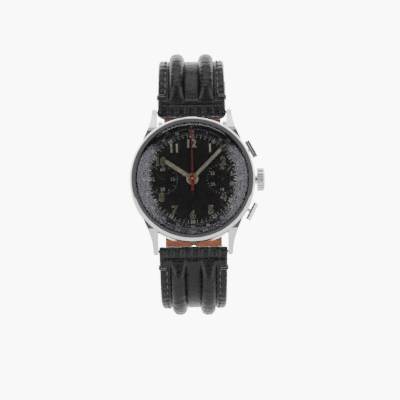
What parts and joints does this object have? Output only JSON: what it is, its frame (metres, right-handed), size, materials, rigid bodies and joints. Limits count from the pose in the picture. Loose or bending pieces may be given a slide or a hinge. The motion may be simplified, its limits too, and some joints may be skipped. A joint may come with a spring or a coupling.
{
  "type": "mechanical chronograph wristwatch",
  "caption": "Hand-wound chronograph wristwatch with black dial, domed acrylic glass, winding crown, start and reset pushers, and a padded two-piece leather strap with buckle.",
  "frame": {"origin": "centre of the case back's flat outer face", "axes": "+X from the dial centre to 3 o'clock and the crown, +Z to 12 o'clock, the dial faces -Y and the case back faces +Y"},
  "size_m": [0.0389, 0.0692, 0.0768],
  "materials": {
    "case_steel": "satin",
    "polished_steel": "polished",
    "acrylic": "clear domed",
    "black_dial": "matt black",
    "cream_hands": "satin with pale filling",
    "dark_hands": "satin black",
    "red_hand": "red lacquer",
    "bridge_metal": "nickelled",
    "wheel_brass": "polished",
    "work_steel": "polished",
    "black_leather": "soft sheen",
    "tan_lining": "suede"
  },
  "bodies": {
    "case": {"case_middle": "case_steel", "bezel": "polished_steel", "crystal": "acrylic", "movement_ring": "bridge_metal", "crown_tube": "case_steel", "pusher_tubes": "case_steel", "spring_bars": "polished_steel", "dial": "black_dial", "main_plate": "bridge_metal", "train_bridge": "bridge_metal", "barrel_bridge": "bridge_metal", "balance_cock": "bridge_metal", "pallet_bridge": "bridge_metal", "chrono_bridge": "bridge_metal"},
    "back": {"case_back": "case_steel"},
    "clutch": {"clutch": "work_steel"},
    "crown_and_stem": {"crown": "polished_steel", "winding_stem": "polished_steel"},
    "winding_pinion": {"winding_pinion": "work_steel"},
    "crown_wheel": {"crown_wheel": "work_steel"},
    "ratchet": {"ratchet_wheel": "work_steel", "barrel_arbor": "work_steel"},
    "click": {"click": "work_steel"},
    "fourth": {"fourth_wheel": "wheel_brass", "small_seconds_hand": "dark_hands"},
    "third": {"third_wheel": "wheel_brass"},
    "centre": {"centre_wheel": "wheel_brass", "cannon_pinion": "work_steel", "minute_hand": "cream_hands"},
    "barrel": {"barrel": "wheel_brass", "mainspring": "work_steel"},
    "escape": {"escape_wheel": "work_steel"},
    "pallet": {"pallet_fork": "work_steel"},
    "balance": {"balance": "wheel_brass", "hairspring": "work_steel"},
    "minute_work": {"minute_wheel": "wheel_brass"},
    "hour": {"hour_wheel": "wheel_brass", "hour_hand": "cream_hands"},
    "runner": {"chrono_runner": "wheel_brass", "chrono_hand": "red_hand"},
    "counter": {"minute_counter_wheel": "wheel_brass", "counter_hand": "dark_hands"},
    "coupling": {"coupling_lever": "work_steel"},
    "coupling_wheel": {"coupling_wheel": "wheel_brass"},
    "column": {"column_wheel": "work_steel"},
    "pusher_start": {"pusher_start": "polished_steel"},
    "pusher_reset": {"pusher_reset": "polished_steel"},
    "operating": {"operating_lever": "work_steel"},
    "reset": {"reset_lever": "work_steel"},
    "hammer": {"hammer": "work_steel"},
    "brake": {"brake_lever": "work_steel"},
    "strap_12": {"strap_12_upper": "black_leather", "strap_12_lining": "tan_lining", "fixed_keeper": "black_leather"},
    "strap_6": {"strap_6_upper": "black_leather", "strap_6_lining": "tan_lining"},
    "free_keeper": {"free_keeper": "black_leather"},
    "buckle": {"buckle_frame": "polished_steel", "buckle_bar": "polished_steel"},
    "tongue": {"buckle_tongue": "polished_steel"}
  },
  "joints": [
    {"name": "back_off", "type": "slide", "parent": "case", "child": "back", "axis": [0, 1, 0], "range_m": [0, 0.02]},
    {"name": "stem_turn", "type": "hinge", "parent": "case", "child": "clutch", "pos_m": [0, -0.0052, 0], "axis": [1, 0, 0], "continuous": true},
    {"name": "crown_pull", "type": "slide", "parent": "clutch", "child": "crown_and_stem", "axis": [1, 0, 0], "range_m": [0, 0.0008]},
    {"name": "winding_pinion_turn", "type": "hinge", "parent": "case", "child": "winding_pinion", "pos_m": [0, -0.0052, 0], "axis": [1, 0, 0], "continuous": true},
    {"name": "crown_wheel_turn", "type": "hinge", "parent": "case", "child": "crown_wheel", "pos_m": [0.0109, 0, 0.0029], "axis": [0, 1, 0], "continuous": true},
    {"name": "ratchet_turn", "type": "hinge", "parent": "case", "child": "ratchet", "pos_m": [0.00357, 0, 0.00618], "axis": [0, 1, 0], "continuous": true},
    {"name": "click_swing", "type": "hinge", "parent": "case", "child": "click", "pos_m": [-0.0032, 0, 0.0089], "axis": [0, 1, 0], "range_deg": [0, 8], "stiffness_Nm_per_rad": 0.00001},
    {"name": "fourth_turn", "type": "hinge", "parent": "case", "child": "fourth", "pos_m": [-0.0085, 0, 0], "axis": [0, 1, 0], "continuous": true},
    {"name": "third_turn", "type": "hinge", "parent": "case", "child": "third", "pos_m": [-0.0048, 0, -0.00248], "axis": [0, 1, 0], "continuous": true},
    {"name": "centre_turn", "type": "hinge", "parent": "case", "child": "centre", "pos_m": [0, 0, 0], "axis": [0, 1, 0], "continuous": true},
    {"name": "barrel_turn", "type": "hinge", "parent": "case", "child": "barrel", "pos_m": [0.00357, 0, 0.00618], "axis": [0, 1, 0], "continuous": true},
    {"name": "escape_turn", "type": "hinge", "parent": "case", "child": "escape", "pos_m": [-0.00911, 0, -0.00347], "axis": [0, 1, 0], "continuous": true},
    {"name": "pallet_swing", "type": "hinge", "parent": "case", "child": "pallet", "pos_m": [-0.00757, 0, -0.00519], "axis": [0, 1, 0], "range_deg": [-4, 4]},
    {"name": "balance_swing", "type": "hinge", "parent": "case", "child": "balance", "pos_m": [-0.0045, 0, -0.0086], "axis": [0, 1, 0], "range_deg": [-270, 270], "stiffness_Nm_per_rad": 0.00000019},
    {"name": "minute_work_turn", "type": "hinge", "parent": "case", "child": "minute_work", "pos_m": [0.00255, 0, -0.00254], "axis": [0, 1, 0], "continuous": true},
    {"name": "hour_turn", "type": "hinge", "parent": "case", "child": "hour", "pos_m": [0, 0, 0], "axis": [0, 1, 0], "continuous": true},
    {"name": "runner_turn", "type": "hinge", "parent": "case", "child": "runner", "pos_m": [0, 0, 0], "axis": [0, 1, 0], "continuous": true},
    {"name": "counter_turn", "type": "hinge", "parent": "case", "child": "counter", "pos_m": [0.0085, 0, 0], "axis": [0, 1, 0], "continuous": true},
    {"name": "coupling_swing", "type": "hinge", "parent": "case", "child": "coupling", "pos_m": [-0.0085, 0, 0], "axis": [0, 1, 0], "range_deg": [0, 8]},
    {"name": "coupling_wheel_turn", "type": "hinge", "parent": "coupling", "child": "coupling_wheel", "pos_m": [-0.00525, 0, 0.00177], "axis": [0, 1, 0], "continuous": true},
    {"name": "column_turn", "type": "hinge", "parent": "case", "child": "column", "pos_m": [0.0074, 0, 0.0082], "axis": [0, 1, 0], "continuous": true},
    {"name": "start_press", "type": "slide", "parent": "case", "child": "pusher_start", "axis": [-0.8829, 0, -0.4695], "range_m": [0, 0.0008], "stiffness_N_per_m": 1500},
    {"name": "operating_swing", "type": "hinge", "parent": "case", "child": "operating", "pos_m": [0.012, 0, 0.002], "axis": [0, -1, 0], "range_deg": [0, 12.05]},
    {"name": "reset_press", "type": "slide", "parent": "case", "child": "pusher_reset", "axis": [-0.8829, 0, 0.4695], "range_m": [0, 0.0008], "stiffness_N_per_m": 1500},
    {"name": "reset_swing", "type": "hinge", "parent": "case", "child": "reset", "pos_m": [0.012, 0, -0.002], "axis": [0, 1, 0], "range_deg": [0, 12.05]},
    {"name": "hammer_swing", "type": "hinge", "parent": "case", "child": "hammer", "pos_m": [0.0104, 0, -0.0052], "axis": [0, 1, 0], "range_deg": [0, 5.1]},
    {"name": "brake_swing", "type": "hinge", "parent": "case", "child": "brake", "pos_m": [0.0005, 0, -0.0066], "axis": [0, 1, 0], "range_deg": [0, 8]},
    {"name": "strap_12_swing", "type": "hinge", "parent": "case", "child": "strap_12", "pos_m": [0, -0.002, 0.0202], "axis": [1, 0, 0], "range_deg": [0, 95]},
    {"name": "strap_6_swing", "type": "hinge", "parent": "case", "child": "strap_6", "pos_m": [0, -0.002, -0.0202], "axis": [-1, 0, 0], "range_deg": [0, 95]},
    {"name": "free_keeper_slide", "type": "hinge", "parent": "strap_12", "child": "free_keeper", "pos_m": [0, 0.02581, 0.00291], "axis": [1, 0, 0], "range_deg": [-3.56, 10.67]},
    {"name": "buckle_swing", "type": "hinge", "parent": "strap_12", "child": "buckle", "pos_m": [0, 0.04981, 0.02378], "axis": [1, 0, 0], "range_deg": [-35, 35]},
    {"name": "tongue_swing", "type": "hinge", "parent": "buckle", "child": "tongue", "pos_m": [0, 0.04981, 0.02378], "axis": [1, 0, 0], "range_deg": [0, 60]}
  ],
  "couplings": [
    {"joint": "winding_pinion_turn", "follows": "stem_turn", "ratio": 1},
    {"joint": "crown_wheel_turn", "follows": "stem_turn", "ratio": 0.45161},
    {"joint": "ratchet_turn", "follows": "stem_turn", "ratio": -0.26923},
    {"joint": "third_turn", "follows": "fourth_turn", "ratio": -0.13333},
    {"joint": "centre_turn", "follows": "fourth_turn", "ratio": 0.016667},
    {"joint": "barrel_turn", "follows": "fourth_turn", "ratio": -0.0027778},
    {"joint": "escape_turn", "follows": "fourth_turn", "ratio": -10},
    {"joint": "minute_work_turn", "follows": "fourth_turn", "ratio": -0.0055556},
    {"joint": "hour_turn", "follows": "fourth_turn", "ratio": 0.0013889},
    {"joint": "coupling_wheel_turn", "follows": "fourth_turn", "ratio": -1.3125},
    {"joint": "operating_swing", "follows": "start_press", "rad_per_m": 258.55},
    {"joint": "reset_swing", "follows": "reset_press", "rad_per_m": 258.55},
    {"joint": "hammer_swing", "follows": "reset_press", "rad_per_m": 109.08}
  ]
}
